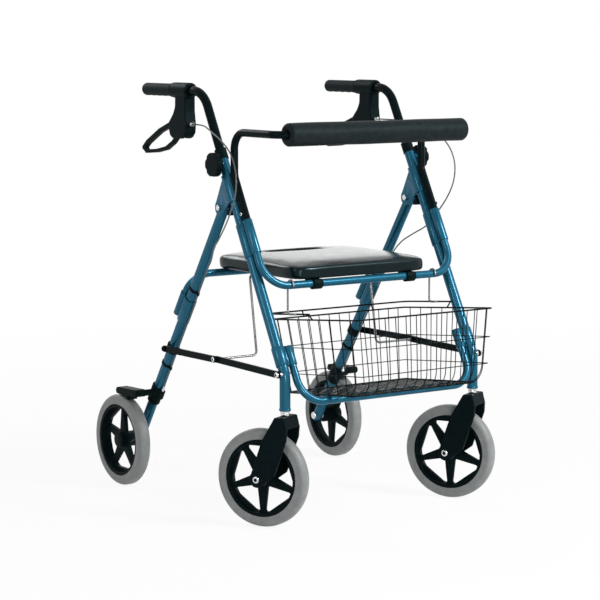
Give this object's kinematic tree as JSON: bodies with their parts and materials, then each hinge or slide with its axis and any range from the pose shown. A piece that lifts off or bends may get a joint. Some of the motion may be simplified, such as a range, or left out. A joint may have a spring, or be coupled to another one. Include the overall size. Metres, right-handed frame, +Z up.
{
  "type": "rollator walker",
  "caption": "Folding four-wheel rollator walker with padded seat, foam backrest bar, wire basket, hand brakes and height-adjustable grips.",
  "frame": {"origin": "on the floor under the middle of the part's box", "axes": "+Z up, front of the walker towards -Y, the user's right hand towards -X"},
  "size_m": [0.6208, 0.8138, 0.885],
  "materials": {
    "frame_paint": "metallic teal blue gloss",
    "black_plastic": "satin black",
    "bright_steel": "bright plated",
    "black_steel": "black powder coat",
    "grip_rubber": "soft matt",
    "seat_vinyl": "smooth black vinyl",
    "foam": "closed-cell foam",
    "tyre": "plain grey tread",
    "cable": "grey sheath"
  },
  "bodies": {
    "front_frame": {"front_leg_right": "frame_paint", "front_leg_left": "frame_paint", "seat_crossbar": "frame_paint", "foot_crossbar": "frame_paint", "tube_clamps": "frame_paint", "hinge_brackets": "frame_paint", "frame_bushes": "black_plastic", "frame_bolts": "bright_steel", "caster_bearings": "bright_steel", "cable_upper_right": "cable", "cable_upper_left": "cable"},
    "rear_frame": {"rear_leg_right": "frame_paint", "rear_leg_left": "frame_paint", "rear_crossbar": "frame_paint", "rear_clamps": "frame_paint", "brake_brackets": "black_plastic", "rear_leg_clips": "black_plastic", "rear_axles": "bright_steel", "cable_lower_right": "cable", "cable_lower_left": "cable"},
    "seat": {"seat_board": "black_plastic", "seat_cushion": "seat_vinyl", "seat_clips": "black_plastic"},
    "backrest": {"backrest_tube": "black_steel", "backrest_pad": "foam"},
    "basket": {"basket_rim": "black_steel", "basket_ends": "black_steel", "basket_sides": "black_steel", "basket_tray": "black_plastic"},
    "brace_front_right": {"brace_front_right": "black_steel"},
    "brace_rear_right": {"brace_rear_right": "black_steel"},
    "lift_wire_right": {"lift_wire_right": "black_steel"},
    "handle_right": {"handle_tube_right": "black_steel", "grip_right": "grip_rubber", "brake_housing_right": "black_plastic"},
    "lever_right": {"brake_lever_right": "black_plastic"},
    "knob_right": {"height_knob_right": "black_plastic"},
    "caster_right": {"caster_fork_right": "black_plastic", "caster_pins_right": "bright_steel"},
    "front_wheel_right": {"front_hub_right": "black_plastic", "front_tyre_right": "tyre"},
    "rear_wheel_right": {"rear_hub_right": "black_plastic", "rear_tyre_right": "tyre"},
    "shoe_right": {"brake_shoe_right": "black_plastic"},
    "brace_front_left": {"brace_front_left": "black_steel"},
    "brace_rear_left": {"brace_rear_left": "black_steel"},
    "lift_wire_left": {"lift_wire_left": "black_steel"},
    "handle_left": {"handle_tube_left": "black_steel", "grip_left": "grip_rubber", "brake_housing_left": "black_plastic"},
    "lever_left": {"brake_lever_left": "black_plastic"},
    "knob_left": {"height_knob_left": "black_plastic"},
    "caster_left": {"caster_fork_left": "black_plastic", "caster_pins_left": "bright_steel"},
    "front_wheel_left": {"front_hub_left": "black_plastic", "front_tyre_left": "tyre"},
    "rear_wheel_left": {"rear_hub_left": "black_plastic", "rear_tyre_left": "tyre"},
    "shoe_left": {"brake_shoe_left": "black_plastic"}
  },
  "joints": [
    {"name": "fold", "type": "hinge", "parent": "front_frame", "child": "rear_frame", "pos_m": [0.01039, -0.03902, 0.63198], "axis": [-1, 0, 0], "range_deg": [0, 30], "deforming": ["cable_upper_right", "cable_upper_left"]},
    {"name": "seat_lift", "type": "hinge", "parent": "front_frame", "child": "seat", "pos_m": [0.01039, -0.19202, 0.48149], "axis": [1, 0, 0], "range_deg": [0, 44.26]},
    {"name": "brace_front_pivot_right", "type": "hinge", "parent": "front_frame", "child": "brace_front_right", "pos_m": [-0.23161, -0.25666, 0.313], "axis": [1, 0, 0], "range_deg": [0, 35.05]},
    {"name": "brace_rear_pivot_right", "type": "hinge", "parent": "rear_frame", "child": "brace_rear_right", "pos_m": [-0.23161, 0.16618, 0.316], "axis": [1, 0, 0], "range_deg": [-44.52, 0]},
    {"name": "lift_wire_pivot_right", "type": "hinge", "parent": "seat", "child": "lift_wire_right", "pos_m": [-0.23161, -0.00402, 0.48449], "axis": [1, 0, 0], "range_deg": [-40.15, 0]},
    {"name": "handle_height_right", "type": "slide", "parent": "front_frame", "child": "handle_right", "axis": [0, 0.4695, 0.8829], "range_m": [-0.075, 0.05], "deforming": ["cable_upper_right"]},
    {"name": "knob_turn_right", "type": "hinge", "parent": "front_frame", "child": "knob_right", "pos_m": [-0.23161, -0.03929, 0.72081], "axis": [1, 0, 0], "continuous": true},
    {"name": "brake_squeeze_right", "type": "hinge", "parent": "handle_right", "child": "lever_right", "pos_m": [-0.23161, 0.11624, 0.7945], "axis": [1, 0, 0], "range_deg": [0, 14]},
    {"name": "shoe_press_right", "type": "hinge", "parent": "rear_frame", "child": "shoe_right", "pos_m": [-0.27561, 0.23372, 0.212], "axis": [-1, 0, 0], "range_deg": [0, 2.1]},
    {"name": "caster_swivel_right", "type": "hinge", "parent": "front_frame", "child": "caster_right", "pos_m": [-0.23161, -0.25666, 0.1], "axis": [0, 0, 1], "continuous": true},
    {"name": "front_wheel_spin_right", "type": "hinge", "parent": "caster_right", "child": "front_wheel_right", "pos_m": [-0.25461, -0.2134, 0.1], "axis": [0.8829, 0.4695, 0], "continuous": true},
    {"name": "rear_wheel_spin_right", "type": "hinge", "parent": "rear_frame", "child": "rear_wheel_right", "pos_m": [-0.27561, 0.30645, 0.1], "axis": [1, 0, 0], "continuous": true},
    {"name": "brace_front_pivot_left", "type": "hinge", "parent": "front_frame", "child": "brace_front_left", "pos_m": [0.25239, -0.25666, 0.313], "axis": [1, 0, 0], "range_deg": [0, 35.05]},
    {"name": "brace_rear_pivot_left", "type": "hinge", "parent": "rear_frame", "child": "brace_rear_left", "pos_m": [0.25239, 0.16618, 0.316], "axis": [1, 0, 0], "range_deg": [-44.52, 0]},
    {"name": "lift_wire_pivot_left", "type": "hinge", "parent": "seat", "child": "lift_wire_left", "pos_m": [0.25239, -0.00402, 0.48449], "axis": [1, 0, 0], "range_deg": [-40.15, 0]},
    {"name": "handle_height_left", "type": "slide", "parent": "front_frame", "child": "handle_left", "axis": [0, 0.4695, 0.8829], "range_m": [-0.075, 0.05], "deforming": ["cable_upper_left"]},
    {"name": "knob_turn_left", "type": "hinge", "parent": "front_frame", "child": "knob_left", "pos_m": [0.25239, -0.03929, 0.72081], "axis": [1, 0, 0], "continuous": true},
    {"name": "brake_squeeze_left", "type": "hinge", "parent": "handle_left", "child": "lever_left", "pos_m": [0.25239, 0.11624, 0.7945], "axis": [1, 0, 0], "range_deg": [0, 14]},
    {"name": "shoe_press_left", "type": "hinge", "parent": "rear_frame", "child": "shoe_left", "pos_m": [0.29639, 0.23372, 0.212], "axis": [-1, 0, 0], "range_deg": [0, 2.1]},
    {"name": "caster_swivel_left", "type": "hinge", "parent": "front_frame", "child": "caster_left", "pos_m": [0.25239, -0.25666, 0.1], "axis": [0, 0, 1], "continuous": true},
    {"name": "front_wheel_spin_left", "type": "hinge", "parent": "caster_left", "child": "front_wheel_left", "pos_m": [0.22939, -0.2134, 0.1], "axis": [0.8829, 0.4695, 0], "continuous": true},
    {"name": "rear_wheel_spin_left", "type": "hinge", "parent": "rear_frame", "child": "rear_wheel_left", "pos_m": [0.29639, 0.30645, 0.1], "axis": [1, 0, 0], "continuous": true},
    {"name": "backrest_lift", "type": "slide", "parent": "front_frame", "child": "backrest", "axis": [0, 0.4695, 0.8829], "range_m": [0, 0.03]},
    {"name": "basket_lift", "type": "slide", "parent": "front_frame", "child": "basket", "axis": [0, 0, 1], "range_m": [0, 0.018]}
  ],
  "couplings": [
    {"joint": "seat_lift", "follows": "fold", "ratio": 1.4588},
    {"joint": "brace_front_pivot_right", "follows": "fold", "ratio": 1.1518},
    {"joint": "brace_rear_pivot_right", "follows": "fold", "ratio": -1.4674},
    {"joint": "lift_wire_pivot_right", "follows": "fold", "ratio": -1.3217},
    {"joint": "shoe_press_right", "follows": "brake_squeeze_right", "ratio": 0.15},
    {"joint": "brace_front_pivot_left", "follows": "fold", "ratio": 1.1518},
    {"joint": "brace_rear_pivot_left", "follows": "fold", "ratio": -1.4674},
    {"joint": "lift_wire_pivot_left", "follows": "fold", "ratio": -1.3217},
    {"joint": "shoe_press_left", "follows": "brake_squeeze_left", "ratio": 0.15}
  ]
}
